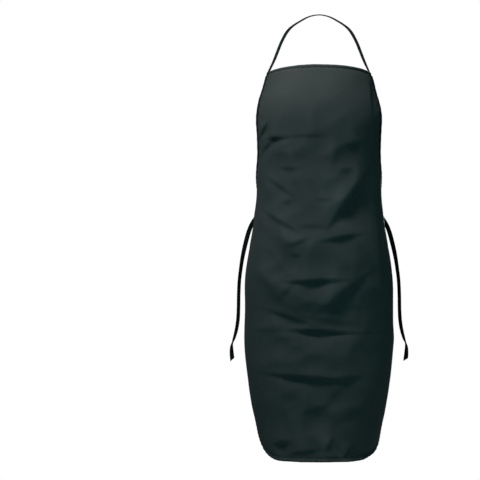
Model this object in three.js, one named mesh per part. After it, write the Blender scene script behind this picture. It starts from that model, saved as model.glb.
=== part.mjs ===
// Bib apron as it hangs on its wearer: bib and skirt in one cut of twill, folded tape over the
// armhole edges, a neck strap that runs on from that tape, and two loose waist ties.
// Millimetres, +Z up. The front of the apron faces -Y and +X is the wearer's left.
// The origin is under the top of the neck strap, where the apron hangs.

import * as THREE from 'three';

// Cloth and tape
const WALL = 1.2; // one layer of twill
const HEM_TURN = 1.0; // what a turned hem adds, on the inside
const HEM_WIDTH = 9;
const BINDING_WIDTH = 8; // how far the armhole tape laps over the cloth
const BINDING_WALL = 1.0; // each leaf of the folded tape
const TAPE_WIDTH = 10; // neck strap and waist ties
const TAPE_WALL = 1.3;
const GAP = 0.3; // clearance between neighbouring pieces
const TWILL_COLOUR = 0x28312f;
const TAPE_COLOUR = 0x1b201f;
const ROUGHNESS = 0.9;

// Flat pattern: across is measured from the middle, down from the bib's top edge
const PATTERN_LENGTH = 824;
const WAIST_DOWN = 280;
const SKIRT_HALF = 252;
const CORNER_WIDE = 176; // the rounded bottom corners, as quarters of an ellipse
const CORNER_TALL = 230;
const TOP_ARCH = 14; // how far the bib's corners hang below the middle of its top edge
const TOP_ARCH_REACH = 120;
const ARMHOLE = [
  { down: 0, half: 121 },
  { down: 20, half: 131 },
  { down: 60, half: 143 },
  { down: 110, half: 151 },
  { down: 160, half: 153 },
  { down: 205, half: 159 },
  { down: 230, half: 172 },
  { down: 255, half: 202 },
  { down: WAIST_DOWN, half: SKIRT_HALF },
];

// Form of the worn apron: a level section for each row, drop is measured from the origin and
// front and back from the axis through the middle of the body
const NECK_BEHIND_AXIS = 109;
const SQUARENESS = 2.3; // 2 would make each section an ellipse
const FORM = [
  { drop: 123, half: 112, front: 70, back: 105 },
  { drop: 137, half: 115, front: 78, back: 106 },
  { drop: 167, half: 122, front: 92, back: 108 },
  { drop: 201, half: 134, front: 103, back: 110 },
  { drop: 227, half: 139, front: 107, back: 112 },
  { drop: 257, half: 137, front: 107.5, back: 113 },
  { drop: 287, half: 134, front: 105.5, back: 114 },
  { drop: 332, half: 132, front: 102, back: 116 },
  { drop: 385, half: 131, front: 101, back: 118 },
  { drop: 450, half: 137, front: 106, back: 122 },
  { drop: 510, half: 147, front: 110, back: 126 },
  { drop: 580, half: 155, front: 110, back: 128 },
  { drop: 640, half: 155, front: 106, back: 128 },
  { drop: 700, half: 156, front: 106, back: 124 },
  { drop: 770, half: 150, front: 109, back: 116 },
  { drop: 825, half: 142, front: 107, back: 110 },
  { drop: 875, half: 131, front: 108, back: 104 },
  { drop: 941, half: 117, front: 114, back: 100 },
];

// Folds: a crest and a trough side by side, with the line between them at across and down.
// along and beside are the fold's half length and half width, turn is the line's slope in degrees,
// and the trough is on the lower side. A rise below zero puts the crest there instead.
const FOLDS = [
  { across: 118, down: 70, along: 34, beside: 10, turn: 90, rise: 2.5 },
  { across: -127, down: 143, along: 20, beside: 10, turn: 52, rise: 3 },
  { across: -115, down: 174, along: 22, beside: 10, turn: 38, rise: 2.5 },
  { across: -91, down: 160, along: 24, beside: 10, turn: 3, rise: 2.5 },
  { across: 77, down: 173, along: 18, beside: 10, turn: 15, rise: 3.5 },
  { across: 56, down: 225, along: 18, beside: 10, turn: 10, rise: 2 },
  { across: -63, down: 223, along: 18, beside: 10, turn: -3, rise: 2 },
  { across: -84, down: 259, along: 30, beside: 10, turn: -34, rise: 2.5 },
  { across: 65, down: 283, along: 54, beside: 15, turn: 53, rise: 11 },
  { across: -82, down: 332, along: 40, beside: 11, turn: -28, rise: 3.5 },
  { across: 47, down: 365, along: 32, beside: 11, turn: 10, rise: 4.5 },
  { across: -39, down: 373, along: 20, beside: 10, turn: 20, rise: 3 },
  { across: 140, down: 400, along: 80, beside: 15, turn: 90, rise: 3 },
  { across: -12, down: 454, along: 42, beside: 10, turn: 2, rise: 6 },
  { across: -66, down: 473, along: 20, beside: 10, turn: 50, rise: 2 },
  { across: 49, down: 480, along: 48, beside: 12, turn: 37, rise: 6.5 },
  { across: -12, down: 518, along: 75, beside: 36, turn: 0, rise: 3 },
  { across: 33, down: 537, along: 45, beside: 11, turn: -8, rise: 2 },
  { across: -66, down: 527, along: 40, beside: 11, turn: -17, rise: 4 },
  { across: 0, down: 557, along: 60, beside: 11, turn: -3, rise: 6 },
  { across: -22, down: 652, along: 60, beside: 12, turn: -4, rise: 7 },
  { across: 58, down: 654, along: 28, beside: 10, turn: 6, rise: 3 },
  { across: 31, down: 689, along: 26, beside: 12, turn: 50, rise: 2 },
  { across: 19, down: 756, along: 42, beside: 22, turn: 15, rise: -4 },
  { across: -80, down: 789, along: 18, beside: 11, turn: 10, rise: 3 },
  { across: -128, down: 776, along: 45, beside: 12, turn: -60, rise: 2.5 },
  { across: 152, down: 816, along: 45, beside: 16, turn: 30, rise: 5 },
];

// Folds that run down from both waist corners, with across measured towards either side
const SIDE_FOLDS = [
  { across: 212, down: 330, along: 52, beside: 14, turn: 62, rise: 3.5 },
  { across: 200, down: 420, along: 60, beside: 15, turn: 70, rise: 3 },
  { across: 222, down: 555, along: 70, beside: 16, turn: 80, rise: 2.5 },
];

// Gathers along the bottom hem, which leave off towards its round corners
const GATHER_PITCH = 46;
const GATHER_RISE = 2;
const GATHER_REACH = 30;
const GATHER_HALF = 105;

// Neck strap, from a bib corner to the nape: out is to the side, behind is from the body's axis,
// and side, ahead and up give the way that the tape faces
const NECK_STRAP = [
  { out: 94, behind: -10, drop: 109, side: 0.65, ahead: 0.43, up: 0.62 },
  { out: 87.5, behind: 12, drop: 89, side: 0.6, ahead: 0.44, up: 0.66 },
  { out: 78, behind: 32, drop: 63, side: 0.53, ahead: 0.46, up: 0.71 },
  { out: 63, behind: 62, drop: 35, side: 0.35, ahead: 0.43, up: 0.83 },
  { out: 40, behind: 90, drop: 15, side: 0.29, ahead: 0.34, up: 0.89 },
  { out: 19, behind: 105, drop: 3, side: 0.2, ahead: 0.29, up: 0.93 },
  { out: 0, behind: 109, drop: -0.6, side: 0, ahead: 0.27, up: 0.96 },
];
const STRAP_STEPS = 3; // sections from one row to the next

// Waist tie, from where it leaves the waist corner to its cut end: face is the way that the tape
// faces, in degrees round from the front
const WAIST_TIE = [
  { out: 118, behind: 80, drop: 418, face: 118 },
  { out: 128, behind: 80, drop: 428, face: 130 },
  { out: 137, behind: 78, drop: 440, face: 142 },
  { out: 145, behind: 75, drop: 454, face: 154 },
  { out: 151, behind: 72, drop: 470, face: 161 },
  { out: 155.5, behind: 69, drop: 487, face: 163 },
  { out: 160, behind: 66, drop: 506, face: 153 },
  { out: 164, behind: 63, drop: 527, face: 142 },
  { out: 167, behind: 61, drop: 548, face: 136 },
  { out: 169.5, behind: 60, drop: 569, face: 134 },
  { out: 171, behind: 58, drop: 600, face: 134 },
  { out: 171.5, behind: 57, drop: 632, face: 135 },
  { out: 172.5, behind: 56, drop: 653, face: 136 },
  { out: 175.5, behind: 55, drop: 674, face: 133 },
  { out: 181, behind: 53, drop: 695, face: 116 },
  { out: 184, behind: 52, drop: 703, face: 101 },
  { out: 185.8, behind: 50, drop: 713, face: 126 },
  { out: 185.5, behind: 48, drop: 726, face: 150 },
  { out: 184, behind: 46, drop: 739, face: 160 },
];
// The tie's sewn end slants down behind the waist corner: past is from the cloth's side edge and
// below from the end of the armhole
const TIE_LAP = [
  { past: -14, below: 9 },
  { past: -4, below: 17 },
  { past: 6, below: 26 },
];
const TIE_STEPS = 2;

// How finely the cloth is divided
const SIDE_COLUMNS = 19;
const BIB_ROWS = 20;
const BIB_ROW_SPREAD = 1.35; // rows draw together towards the waist corner
const SKIRT_ROWS = 34;
const HEM_ROWS = [34, 24, 16, HEM_WIDTH, 4, 1, 0]; // heights above the bottom edge
const LARGEST_INSET = 24;
const SECTION_STEPS = 240;
const NORMAL_STEP = 1.5;

function tableCurve(rows, along, columns) {
  const places = rows.map((row) => row[along]);
  const values = rows.flatMap((row) => columns.map((column) => row[column]));
  const curve = new THREE.CubicInterpolant(places, values, columns.length);
  return (place) => Array.from(curve.evaluate(place));
}

const formAt = tableCurve(FORM, 'drop', ['half', 'front', 'back']);
const armholeAt = tableCurve(ARMHOLE, 'down', ['half']);

// Half of the flat pattern's width at a distance below the bib's top edge
function patternHalf(down) {
  if (down <= WAIST_DOWN) {
    return armholeAt(down)[0];
  }
  const intoCorner = Math.max(0, (down - PATTERN_LENGTH) / CORNER_TALL + 1);
  return SKIRT_HALF - CORNER_WIDE * (1 - Math.sqrt(Math.max(0, 1 - intoCorner ** 2)));
}

// Distance on the flat pattern to the nearest hemmed edge
function hemDistance(across, down) {
  if (down <= WAIST_DOWN) {
    return down;
  }
  const toSide = SKIRT_HALF - Math.abs(across);
  const toHem = PATTERN_LENGTH - down;
  const intoWide = 1 - toSide / CORNER_WIDE;
  const intoTall = 1 - toHem / CORNER_TALL;
  if (intoWide > 0 && intoTall > 0) {
    return CORNER_WIDE * (1 - Math.hypot(intoWide, intoTall));
  }
  return Math.min(toSide, toHem);
}

// Drop below the origin of each millimetre of cloth down the middle of the front
function middleDrops() {
  const top = FORM[0].drop;
  const drops = [top];
  let drop = top;
  for (let down = 1; down <= PATTERN_LENGTH; down += 1) {
    const slope = formAt(drop + 1)[1] - formAt(drop)[1];
    drop += 1 / Math.hypot(1, slope);
    drops.push(drop);
  }
  return drops;
}

const MIDDLE_DROPS = middleDrops();

function middleDrop(down) {
  const index = Math.min(Math.floor(down), PATTERN_LENGTH - 1);
  return THREE.MathUtils.lerp(MIDDLE_DROPS[index], MIDDLE_DROPS[index + 1], down - index);
}

// Walks round the level section at a drop, from the middle of the front
function sectionPoint(drop, across) {
  const [half, front, back] = formAt(drop);
  const reach = Math.abs(across);
  const last = new THREE.Vector2(0, -front);
  const next = new THREE.Vector2();
  let walked = 0;
  for (let step = 1; step <= SECTION_STEPS; step += 1) {
    const angle = (Math.PI * step) / SECTION_STEPS;
    const sine = Math.abs(Math.sin(angle));
    const cosine = Math.cos(angle);
    const swell = (sine ** SQUARENESS + Math.abs(cosine) ** SQUARENESS) ** (-1 / SQUARENESS);
    next.set(half * sine * swell, -(cosine > 0 ? front : back) * cosine * swell);
    const length = next.distanceTo(last);
    if (walked + length >= reach) {
      last.lerp(next, (reach - walked) / length);
      break;
    }
    walked += length;
    last.copy(next);
  }
  return last.setX(Math.sign(across) * last.x);
}

// The cloth's middle layer before it is folded
function smoothCloth(across, down) {
  const sideways = across / patternHalf(down);
  const fade = Math.max(0, 1 - down / TOP_ARCH_REACH) ** 2;
  const drop = middleDrop(down) + TOP_ARCH * fade * sideways ** 2;
  const place = sectionPoint(drop, across);
  return new THREE.Vector3(place.x, place.y - NECK_BEHIND_AXIS, -drop);
}

function foldHeight(fold, across, down) {
  const turn = THREE.MathUtils.degToRad(fold.turn);
  const right = across - fold.across;
  const below = down - fold.down;
  const along = (right * Math.cos(turn) - below * Math.sin(turn)) / fold.along;
  const beside = (right * Math.sin(turn) + below * Math.cos(turn)) / fold.beside;
  return -fold.rise * beside * Math.exp(0.5 - beside ** 2 / 2 - along ** 2);
}

function clothRise(across, down) {
  const front = FOLDS.reduce((sum, fold) => sum + foldHeight(fold, across, down), 0);
  const sides = SIDE_FOLDS.reduce((sum, fold) => sum + foldHeight(fold, Math.abs(across), down), 0);
  const fade = Math.exp(-(PATTERN_LENGTH - down) / GATHER_REACH - (across / GATHER_HALF) ** 4);
  const gather = GATHER_RISE * fade * Math.sin((2 * Math.PI * across) / GATHER_PITCH);
  return front + sides + gather;
}

function normalOf(surface, across, down) {
  const above = surface(across, Math.max(0, down - NORMAL_STEP));
  const below = surface(across, Math.min(PATTERN_LENGTH, down + NORMAL_STEP));
  const left = surface(across - NORMAL_STEP, down);
  const right = surface(across + NORMAL_STEP, down);
  return below.sub(above).cross(right.sub(left)).normalize();
}

function cloth(across, down) {
  const rise = clothRise(across, down);
  return smoothCloth(across, down).addScaledVector(normalOf(smoothCloth, across, down), rise);
}

function clothNormal(across, down) {
  return normalOf(cloth, across, down);
}

// A closed solid with its faces turned outwards
function solid(name, points, triangles, colour) {
  const volume = triangles.reduce((sum, [a, b, c]) => {
    return sum + points[a].dot(points[b].clone().cross(points[c]));
  }, 0);
  const facing = volume > 0 ? triangles : triangles.map(([a, b, c]) => [a, c, b]);
  const geometry = new THREE.BufferGeometry().setFromPoints(points);
  geometry.setIndex(facing.flat());
  geometry.computeVertexNormals();
  const material = new THREE.MeshStandardMaterial({ color: colour, roughness: ROUGHNESS, metalness: 0 });
  const mesh = new THREE.Mesh(geometry, material);
  mesh.name = name;
  return mesh;
}

// Joins rings of equal size into a solid, closed at both ends by the same faces. The second half of
// a ring comes back along the first, and two cells that face each other across the wall are divided
// along the same diagonal, so that a twisted wall stays even.
function sweep(name, rings, endFaces, colour) {
  const points = rings.flat();
  const size = rings[0].length;
  const last = points.length - size;
  const triangles = [];
  for (let start = 0; start < last; start += size) {
    const cells = rings[0].map((point, side) => {
      const here = start + side;
      const beside = start + ((side + 1) % size);
      return [here, beside, beside + size, here + size];
    });
    const leans = cells.map(([a, b, c, d]) => {
      return points[a].distanceTo(points[c]) - points[b].distanceTo(points[d]);
    });
    cells.forEach(([a, b, c, d], side) => {
      const facing = (2 * size - 2 - side) % size;
      const divided = leans[side] < leans[facing] ? [[a, b, c], [a, c, d]] : [[a, b, d], [b, c, d]];
      triangles.push(...divided);
    });
  }
  for (const [a, b, c] of endFaces) {
    triangles.push([a, c, b], [a + last, b + last, c + last]);
  }
  return solid(name, points, triangles, colour);
}

// Rows of the cloth, closer together at the armholes' lower ends and at the bottom hem
function clothRows() {
  const rows = [0];
  for (let row = 0; row <= BIB_ROWS; row += 1) {
    const share = 1 - (1 - row / BIB_ROWS) ** BIB_ROW_SPREAD;
    rows.push(THREE.MathUtils.lerp(HEM_WIDTH, WAIST_DOWN, share));
  }
  const hemTop = PATTERN_LENGTH - HEM_ROWS[0];
  for (let row = 1; row < SKIRT_ROWS; row += 1) {
    rows.push(THREE.MathUtils.lerp(WAIST_DOWN, hemTop, row / SKIRT_ROWS));
  }
  return [...rows, ...HEM_ROWS.map((height) => PATTERN_LENGTH - height)];
}

// How far in from the side the hem or the armhole tape reaches, measured level
function edgeInset(down) {
  const step = 1;
  const high = Math.max(0, down - step);
  const low = Math.min(PATTERN_LENGTH, down + step);
  const slope = (patternHalf(low) - patternHalf(high)) / (low - high);
  const width = down <= WAIST_DOWN ? BINDING_WIDTH : HEM_WIDTH;
  return Math.min(width * Math.hypot(1, slope), LARGEST_INSET);
}

// The cloth's grid: each crossing holds its place, the way out of the cloth and the hem's turn
function clothGrid() {
  return clothRows().map((down) => {
    const half = patternHalf(down);
    const inner = half - edgeInset(down);
    const crossings = [];
    for (let column = -SIDE_COLUMNS; column <= SIDE_COLUMNS; column += 1) {
      const outwards = Math.abs(column);
      const reach = outwards === SIDE_COLUMNS ? half : (inner * outwards) / (SIDE_COLUMNS - 1);
      const across = Math.sign(column) * reach;
      const bound = down <= WAIST_DOWN && outwards >= SIDE_COLUMNS - 1;
      const hemmed = !bound && hemDistance(across, down) <= HEM_WIDTH + GAP;
      crossings.push({
        place: cloth(across, down),
        normal: clothNormal(across, down),
        turned: hemmed ? HEM_TURN : 0,
      });
    }
    return crossings;
  });
}

// The two triangles of a four-sided cell, divided along its shorter diagonal
function cellTriangles(points, a, b, c, d) {
  if (points[a].distanceTo(points[c]) < points[b].distanceTo(points[d])) {
    return [[a, b, c], [a, c, d]];
  }
  return [[a, b, d], [b, c, d]];
}

function apronPanel(grid) {
  const width = grid[0].length;
  const layer = grid.length * width;
  const crossings = grid.flat();
  const outside = crossings.map(({ place, normal }) => place.clone().addScaledVector(normal, WALL / 2));
  const inside = crossings.map(({ place, normal, turned }) => {
    return place.clone().addScaledVector(normal, -WALL / 2 - turned);
  });
  const triangles = [];
  for (let row = 0; row + 1 < grid.length; row += 1) {
    for (let column = 0; column + 1 < width; column += 1) {
      const a = row * width + column;
      for (const [i, j, k] of cellTriangles(outside, a, a + 1, a + 1 + width, a + width)) {
        triangles.push([i, j, k], [i + layer, k + layer, j + layer]);
      }
    }
  }
  const edge = [];
  for (let column = 0; column + 1 < width; column += 1) {
    edge.push([column + 1, column], [layer - width + column, layer - width + column + 1]);
  }
  for (let row = 0; row + 1 < grid.length; row += 1) {
    const here = row * width;
    edge.push([here, here + width], [here + 2 * width - 1, here + width - 1]);
  }
  for (const [from, to] of edge) {
    triangles.push([from, to, to + layer], [from, to + layer, from + layer]);
  }
  return solid('apron_panel', [...outside, ...inside], triangles, TWILL_COLOUR);
}

// The armhole edge of one side: the cloth's outermost crossings and those next to them
function armholeEdge(grid, side) {
  const middle = SIDE_COLUMNS;
  const rows = grid.slice(0, BIB_ROWS + 2);
  return rows.map((row) => ({
    edge: row[middle + side * SIDE_COLUMNS],
    inner: row[middle + side * (SIDE_COLUMNS - 1)],
  }));
}

// Tape folded over the armhole edge: two leaves and the fold between them
function armholeBinding(name, armhole) {
  const slot = WALL / 2 + GAP;
  const skin = slot + BINDING_WALL;
  const rings = armhole.map(({ edge, inner }) => {
    const outwards = edge.place.clone().sub(inner.place).normalize();
    const at = (crossing, out, up) => {
      return crossing.place.clone().addScaledVector(outwards, out).addScaledVector(crossing.normal, up);
    };
    const leaf = (out, up) => [
      at(inner, 0, up),
      at(edge, 0, up),
      at(edge, out, up / 2),
      at(edge, out, -up / 2),
      at(edge, 0, -up),
      at(inner, 0, -up),
    ];
    return [...leaf(GAP + BINDING_WALL, skin), ...leaf(GAP, slot).reverse()];
  });
  const last = rings[0].length - 1;
  const endFaces = [];
  for (let point = 0; 2 * point + 1 < last; point += 1) {
    const across = last - point;
    endFaces.push([point, point + 1, across - 1], [point, across - 1, across]);
  }
  return sweep(name, rings, endFaces, TAPE_COLOUR);
}

// A flat tape through stations that hold its centre, the way across it and the way that it faces
function tape(name, stations) {
  const rings = stations.map(({ centre, across, facing }) => {
    const corner = (wide, thick) => {
      return centre.clone()
        .addScaledVector(across, (wide * TAPE_WIDTH) / 2)
        .addScaledVector(facing, (thick * TAPE_WALL) / 2);
    };
    return [corner(1, 1), corner(-1, 1), corner(-1, -1), corner(1, -1)];
  });
  return sweep(name, rings, [[0, 1, 2], [0, 2, 3]], TAPE_COLOUR);
}

// Stations along a smooth curve through places, turned to face the ways that go with them
function stationsAlong(places, facings, steps) {
  const path = new THREE.CatmullRomCurve3(places, false, 'centripetal');
  const turning = new THREE.CatmullRomCurve3(facings, false, 'centripetal');
  const count = (places.length - 1) * steps;
  const stations = [];
  for (let step = 0; step <= count; step += 1) {
    const share = step / count;
    const ahead = path.getTangent(share);
    const across = ahead.clone().cross(turning.getPoint(share)).normalize();
    stations.push({ centre: path.getPoint(share), across, facing: across.clone().cross(ahead) });
  }
  return stations;
}

// The strap's end at a bib corner, a small gap above the end of the armhole tape
function strapFoot(armhole) {
  const [{ edge, inner }, below] = armhole;
  const upwards = edge.place.clone().sub(below.edge.place).normalize();
  const across = edge.place.clone().sub(inner.place).normalize();
  const facing = edge.normal.clone().addScaledVector(across, -edge.normal.dot(across)).normalize();
  const square = Math.abs(upwards.dot(across.clone().cross(facing)));
  const centre = edge.place.clone().lerp(inner.place, 0.5).addScaledVector(upwards, GAP / square);
  return { centre, across, facing };
}

function neckStrap(footLeft, footRight) {
  const mirrored = (side) => NECK_STRAP.map((row) => ({
    place: new THREE.Vector3(side * row.out, row.behind - NECK_BEHIND_AXIS, -row.drop),
    facing: new THREE.Vector3(side * row.side, -row.ahead, row.up),
  }));
  const rows = [...mirrored(1), ...mirrored(-1).reverse().slice(1)];
  const places = [footLeft.centre, ...rows.map((row) => row.place), footRight.centre];
  const facings = [footLeft.facing, ...rows.map((row) => row.facing), footRight.facing];
  const stations = stationsAlong(places, facings, STRAP_STEPS);
  const mitre = (foot, station) => {
    const flip = Math.sign(foot.across.dot(station.across));
    return { ...foot, across: foot.across.clone().multiplyScalar(flip) };
  };
  stations[0] = mitre(footLeft, stations[0]);
  stations[stations.length - 1] = mitre(footRight, stations[stations.length - 1]);
  return tape('neck_strap', stations);
}

function waistTie(name, side) {
  const behindCloth = WALL / 2 + HEM_TURN + 2 * GAP + TAPE_WALL / 2;
  const sewn = TIE_LAP.map(({ past, below }) => {
    const across = side * (SKIRT_HALF + past);
    const down = WAIST_DOWN + below;
    const facing = clothNormal(across, down);
    return { place: cloth(across, down).addScaledVector(facing, -behindCloth), facing };
  });
  const hanging = WAIST_TIE.map((row) => {
    const face = THREE.MathUtils.degToRad(row.face);
    return {
      place: new THREE.Vector3(side * row.out, row.behind - NECK_BEHIND_AXIS, -row.drop),
      facing: new THREE.Vector3(side * Math.sin(face), -Math.cos(face), 0),
    };
  });
  const rows = [...sewn, ...hanging];
  const places = rows.map((row) => row.place);
  const facings = rows.map((row) => row.facing);
  return tape(name, stationsAlong(places, facings, TIE_STEPS));
}

function apron() {
  const grid = clothGrid();
  const armholeLeft = armholeEdge(grid, 1);
  const armholeRight = armholeEdge(grid, -1);
  const group = new THREE.Group();
  group.add(apronPanel(grid));
  group.add(armholeBinding('armhole_binding_left', armholeLeft));
  group.add(armholeBinding('armhole_binding_right', armholeRight));
  group.add(neckStrap(strapFoot(armholeLeft), strapFoot(armholeRight)));
  group.add(waistTie('waist_tie_left', 1));
  group.add(waistTie('waist_tie_right', -1));
  return group;
}

export default apron();
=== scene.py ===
# %% [markdown]
# # A bib apron, dressed in Blender
#
# A bib apron is one cut of twill: a narrow bib above and a wide skirt below. Folded tape binds the
# two armhole curves, runs on as a loop round the neck, and hangs from the waist as two loose ties.
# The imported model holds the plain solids. This lesson makes the cloth, tape and thread that the eye
# sees, in the same place: metres, +Z up, the front towards -Y, and +X at the wearer's left.

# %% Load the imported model
import math

import bmesh
import bpy
import numpy as np
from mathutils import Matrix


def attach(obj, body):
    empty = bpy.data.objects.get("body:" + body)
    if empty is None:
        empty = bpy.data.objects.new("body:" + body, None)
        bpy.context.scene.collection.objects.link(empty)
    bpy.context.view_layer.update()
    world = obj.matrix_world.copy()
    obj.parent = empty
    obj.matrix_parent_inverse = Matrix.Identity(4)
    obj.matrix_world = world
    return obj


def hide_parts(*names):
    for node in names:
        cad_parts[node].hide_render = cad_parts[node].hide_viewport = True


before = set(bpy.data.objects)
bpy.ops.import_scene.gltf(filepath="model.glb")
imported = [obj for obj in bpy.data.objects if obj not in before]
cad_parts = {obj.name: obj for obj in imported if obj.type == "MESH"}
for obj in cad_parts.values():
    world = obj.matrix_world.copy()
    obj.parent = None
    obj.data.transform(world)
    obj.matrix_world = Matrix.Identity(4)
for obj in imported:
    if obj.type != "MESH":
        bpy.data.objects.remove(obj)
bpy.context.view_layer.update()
print("packed nodes:", sorted(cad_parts))

# %% [markdown]
# ## The camera
#
# The apron is seen level and straight from the front, from far enough away that it hardly tapers.
# A long lens gives that. The lens follows from the distance and from how much of the apron's plane
# the picture should span, so no number has to be found by trying. The apron stands right of the
# middle of the picture, which a sideways lens shift gives without turning the camera.

# %% Camera
BODY_AXIS_Y = -0.109  # the upright line through the middle of the worn form
CAMERA_DISTANCE = 4.0
CAMERA_LEVEL = -0.485
PICTURE_SPAN = 1.008  # what the picture shows from side to side at the body's axis
SENSOR_MM = 36.0
APRON_RIGHT_OF_MIDDLE = 79 / 480  # as a part of the picture's width

lens = bpy.data.cameras.new("front_camera")
lens.sensor_width = SENSOR_MM
lens.lens = SENSOR_MM * CAMERA_DISTANCE / PICTURE_SPAN
lens.shift_x = -APRON_RIGHT_OF_MIDDLE
camera = bpy.data.objects.new("front_camera", lens)
camera.location = (0, BODY_AXIS_Y - CAMERA_DISTANCE, CAMERA_LEVEL)
camera.rotation_euler = (math.radians(90), 0, 0)
scene = bpy.context.scene
scene.collection.objects.link(camera)
scene.camera = camera
print(f"camera lens: {lens.lens:.1f} mm")

# %% [markdown]
# ## Colours and nodes
#
# Colours are written as sRGB hex values, as they are read off a screen, and Blender's sockets take
# linear light. One function changes the first into the second. A second small function adds any node
# with its options, its values and its links, so that a material reads as a list of what it holds.

# %% Helpers for materials
MIX_A, MIX_B, MIX_RESULT = 6, 7, 2  # the colour sockets of a Mix node
WAVE_PERIOD = 2 * math.pi / 20  # the length of one band of a Wave node at scale 1


def linear(hex_colour):
    """The linear red, green, blue and alpha of an sRGB hex colour."""
    channels = [int(hex_colour[start:start + 2], 16) / 255 for start in (1, 3, 5)]
    light = [c / 12.92 if c <= 0.04045 else ((c + 0.055) / 1.055) ** 2.4 for c in channels]
    return (*light, 1.0)


def add_node(tree, kind, options=None, values=None, links=None):
    """Adds one node with its options, input values and links, and hands it back."""
    node = tree.nodes.new(kind)
    for name, value in (options or {}).items():
        setattr(node, name, value)
    for name, value in (values or {}).items():
        node.inputs[name].default_value = value
    for name, (source, output) in (links or {}).items():
        tree.links.new(source.outputs[output], node.inputs[name])
    return node


def new_material(name):
    """An empty material and its node tree."""
    material = bpy.data.materials.new(name)
    material.use_nodes = True
    material.node_tree.nodes.clear()
    return material, material.node_tree


print("middle grey as linear light:", round(linear("#808080")[0], 4))

# %% [markdown]
# ## Poly-cotton twill
#
# Twill is woven so that each thread steps one place aside from row to row, and the steps make fine
# slanting ribs. Dyed nearly black, it is matt, and the fuzz on its spun threads lightens it where it
# is seen edge on: that is the sheen. Rubbed edges go a little grey, and the crests of folds are
# painted a little lighter, as a painted highlight. The colour could be one flat value, but then large
# folds would look like moulded rubber. Here the threads differ a little in colour, and the cloth
# coordinates, in metres along the flat pattern, keep the ribs on the cloth as it drapes.

# %% Material: poly-cotton twill
TWILL_RIB = 0.0016  # real ribs are 0.7 mm apart; they are drawn coarser, to show at this distance
TWILL_SLANT = math.radians(63)
THREAD_STREAK = (0.0022, 0.09)  # width and length of the streaks that uneven threads leave
STREAK_IN_WEAVE = 0.35  # how much the uneven threads add to the height of the ribs
FADED_PATCH = 0.11
TWILL_DARK, TWILL_LIGHT = "#2b2f2f", "#2f3333"
# The last colour is the grey of the worn top edge, and also a painted highlight on fold crests.
TWILL_FADED, TWILL_WORN_AND_HIGHLIT = "#303434", "#424646"

twill, tree = new_material("poly_cotton_twill")
pattern = add_node(tree, "ShaderNodeUVMap", {"uv_map": "pattern"})
slanted = add_node(tree, "ShaderNodeMapping", values={"Rotation": (0, 0, TWILL_SLANT)},
                   links={"Vector": (pattern, "UV")})
ribs = add_node(tree, "ShaderNodeTexWave", {"wave_type": "BANDS", "bands_direction": "X"},
                {"Scale": WAVE_PERIOD / TWILL_RIB, "Distortion": 0.8, "Detail": 1.0},
                {"Vector": (slanted, "Vector")})
drawn_out = add_node(tree, "ShaderNodeMapping",
                     values={"Scale": (1 / THREAD_STREAK[0], 1 / THREAD_STREAK[1], 1)},
                     links={"Vector": (pattern, "UV")})
streaks = add_node(tree, "ShaderNodeTexNoise", values={"Scale": 1.0, "Detail": 2.0},
                   links={"Vector": (drawn_out, "Vector")})
patches = add_node(tree, "ShaderNodeTexNoise", values={"Scale": 1 / FADED_PATCH, "Detail": 3.0},
                   links={"Vector": (pattern, "UV")})
# Painted highlight: fold crests are painted lighter; the bib's top edge is lighter from wear.
wear_and_crest_highlight = add_node(tree, "ShaderNodeAttribute", {"attribute_name": "wear_and_crest_highlight"})

threads = add_node(tree, "ShaderNodeMix", {"data_type": "RGBA"},
                   {MIX_A: linear(TWILL_DARK), MIX_B: linear(TWILL_LIGHT)}, {0: (streaks, "Fac")})
patch_tone = add_node(tree, "ShaderNodeMapRange",
                      values={"From Min": 0.3, "From Max": 0.7, "To Min": 0.0, "To Max": 1.0},
                      links={"Value": (patches, "Fac")})
faded = add_node(tree, "ShaderNodeMix", {"data_type": "RGBA"}, {MIX_B: linear(TWILL_FADED)},
                 {0: (patch_tone, "Result"), MIX_A: (threads, MIX_RESULT)})
# Mixes in the worn-edge grey and the painted highlight on the crests of folds.
worn_and_highlit_tone = add_node(tree, "ShaderNodeMix", {"data_type": "RGBA"}, {MIX_B: linear(TWILL_WORN_AND_HIGHLIT)},
                {0: (wear_and_crest_highlight, "Fac"), MIX_A: (faded, MIX_RESULT)})
weave = add_node(tree, "ShaderNodeMath", {"operation": "MULTIPLY_ADD"}, {1: STREAK_IN_WEAVE},
                 {0: (streaks, "Fac"), 2: (ribs, "Fac")})
relief = add_node(tree, "ShaderNodeBump", values={"Strength": 0.35, "Distance": 0.0003},
                  links={"Height": (weave, "Value")})
cloth_shader = add_node(tree, "ShaderNodeBsdfPrincipled",
                        values={"Roughness": 0.75, "IOR": 1.5, "Specular IOR Level": 0.15,
                                "Sheen Weight": 0.02, "Sheen Roughness": 0.45,
                                "Sheen Tint": linear("#dfeae8")},
                        links={"Base Color": (worn_and_highlit_tone, MIX_RESULT), "Normal": (relief, "Normal")})
add_node(tree, "ShaderNodeOutputMaterial", links={"Surface": (cloth_shader, "BSDF")})
print("twill nodes:", len(tree.nodes))

# %% [markdown]
# ## Woven cotton tape
#
# Apron tape is a narrow herringbone weave, denser and blacker than the cloth, with a firm edge on
# either side. The herringbone is two slants that meet along the middle of the tape, so it follows
# from the distance along the tape plus the distance from its middle.

# %% Material: woven cotton tape
TAPE_RIB = 0.0014  # drawn about twice as coarse as the real weave
TAPE_FUZZ = 0.004  # the size of a fuzzy patch
TAPE_DARK, TAPE_LIGHT = "#050d0d", "#081414"

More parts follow.
